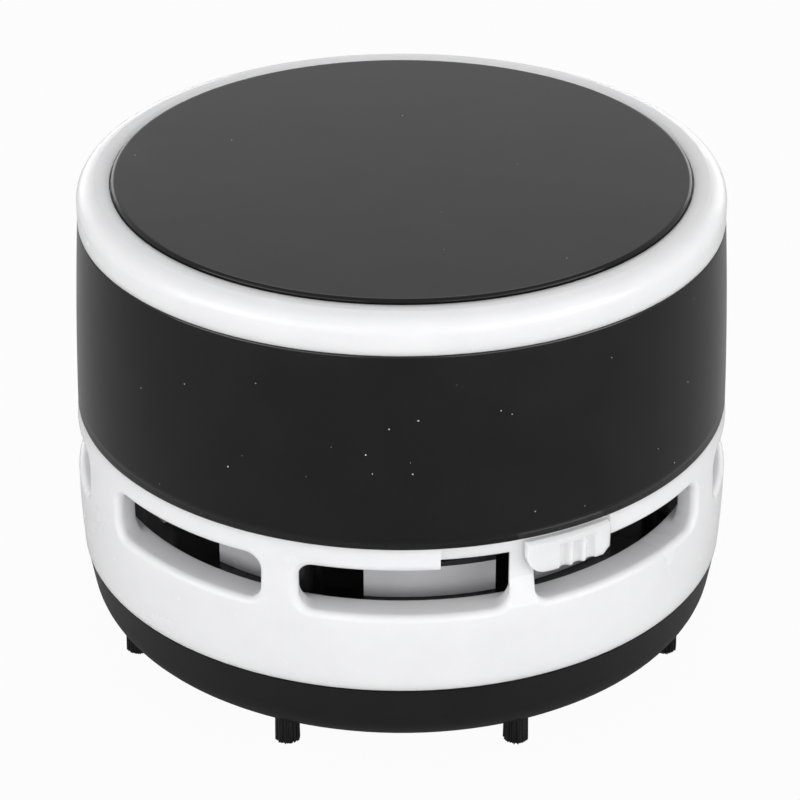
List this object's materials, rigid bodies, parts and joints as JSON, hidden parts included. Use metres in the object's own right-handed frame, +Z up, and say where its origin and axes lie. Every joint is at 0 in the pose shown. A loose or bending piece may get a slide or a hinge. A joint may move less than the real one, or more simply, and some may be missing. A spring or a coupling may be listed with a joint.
{
  "type": "desktop vacuum cleaner",
  "caption": "Round battery-driven desktop vacuum cleaner with a black band, exhaust slots, a slide switch and bristle feet; the body lifts off its dust pan.",
  "frame": {"origin": "on the desk, under the middle of the round body", "axes": "+Z up through the fan's shaft, -Y towards the front, where the slide switch is"},
  "size_m": [0.084, 0.084, 0.0618],
  "materials": {
    "gloss_white": "moulded, fine gloss",
    "gloss_black": "high gloss, polished mould",
    "satin_black": "satin",
    "bristle": "nylon bristles, cut ends",
    "seal_rubber": "soft moulded rubber",
    "inner_white": "plain moulded",
    "fan_grey": "moulded grey",
    "filter_cloth": "fine woven filter cloth",
    "can_steel": "zinc plated",
    "sheet_steel": "nickel plated sheet",
    "spring_steel": "nickel plated wire",
    "screw_steel": "zinc plated",
    "shaft_steel": "ground",
    "bronze": "plain",
    "cell_jacket": "shrink jacket, plain",
    "lead_black": "wire cover",
    "lead_red": "wire cover",
    "impeller_black": "moulded"
  },
  "bodies": {
    "dust_box": {"dust_pan": "satin_black", "inlet_nozzle": "satin_black", "brush_tufts": "bristle", "dust_seal": "seal_rubber"},
    "main_body": {"vent_ring": "gloss_white", "trim_band": "gloss_black", "inner_frame": "inner_white", "fan_housing": "fan_grey", "fan_cover": "satin_black", "filter_frame": "fan_grey", "filter_mesh": "filter_cloth", "motor_can": "can_steel", "motor_bushing": "bronze", "motor_end_cap": "inner_white", "motor_terminals": "bronze", "motor_strap": "sheet_steel", "battery_tray": "inner_white", "front_cell": "cell_jacket", "rear_cell": "cell_jacket", "bridge_contact": "sheet_steel", "positive_contact": "sheet_steel", "negative_contact": "sheet_steel", "contact_springs": "spring_steel", "body_screws": "screw_steel", "tray_screws": "screw_steel", "switch_strips": "bronze", "lead_black": "lead_black", "lead_red": "lead_red", "lead_switch": "lead_red"},
    "battery_lid": {"lid_ring": "gloss_white", "top_disc": "gloss_black"},
    "switch_slider": {"switch_knob": "gloss_white", "switch_bridge": "bronze"},
    "rotor": {"motor_shaft": "shaft_steel", "impeller": "impeller_black"}
  },
  "joints": [
    {"name": "dust_box_release", "type": "slide", "parent": "dust_box", "child": "main_body", "axis": [0, 0, 1], "range_m": [0, 0.05]},
    {"name": "battery_lid_release", "type": "slide", "parent": "main_body", "child": "battery_lid", "axis": [0, 0, 1], "range_m": [0, 0.03]},
    {"name": "switch_slide", "type": "hinge", "parent": "main_body", "child": "switch_slider", "pos_m": [0, 0, 0.029], "axis": [0, 0, 1], "range_deg": [-9.4, 0]},
    {"name": "fan_spin", "type": "hinge", "parent": "main_body", "child": "rotor", "pos_m": [0, 0, 0.025], "axis": [0, 0, 1], "continuous": true}
  ]
}
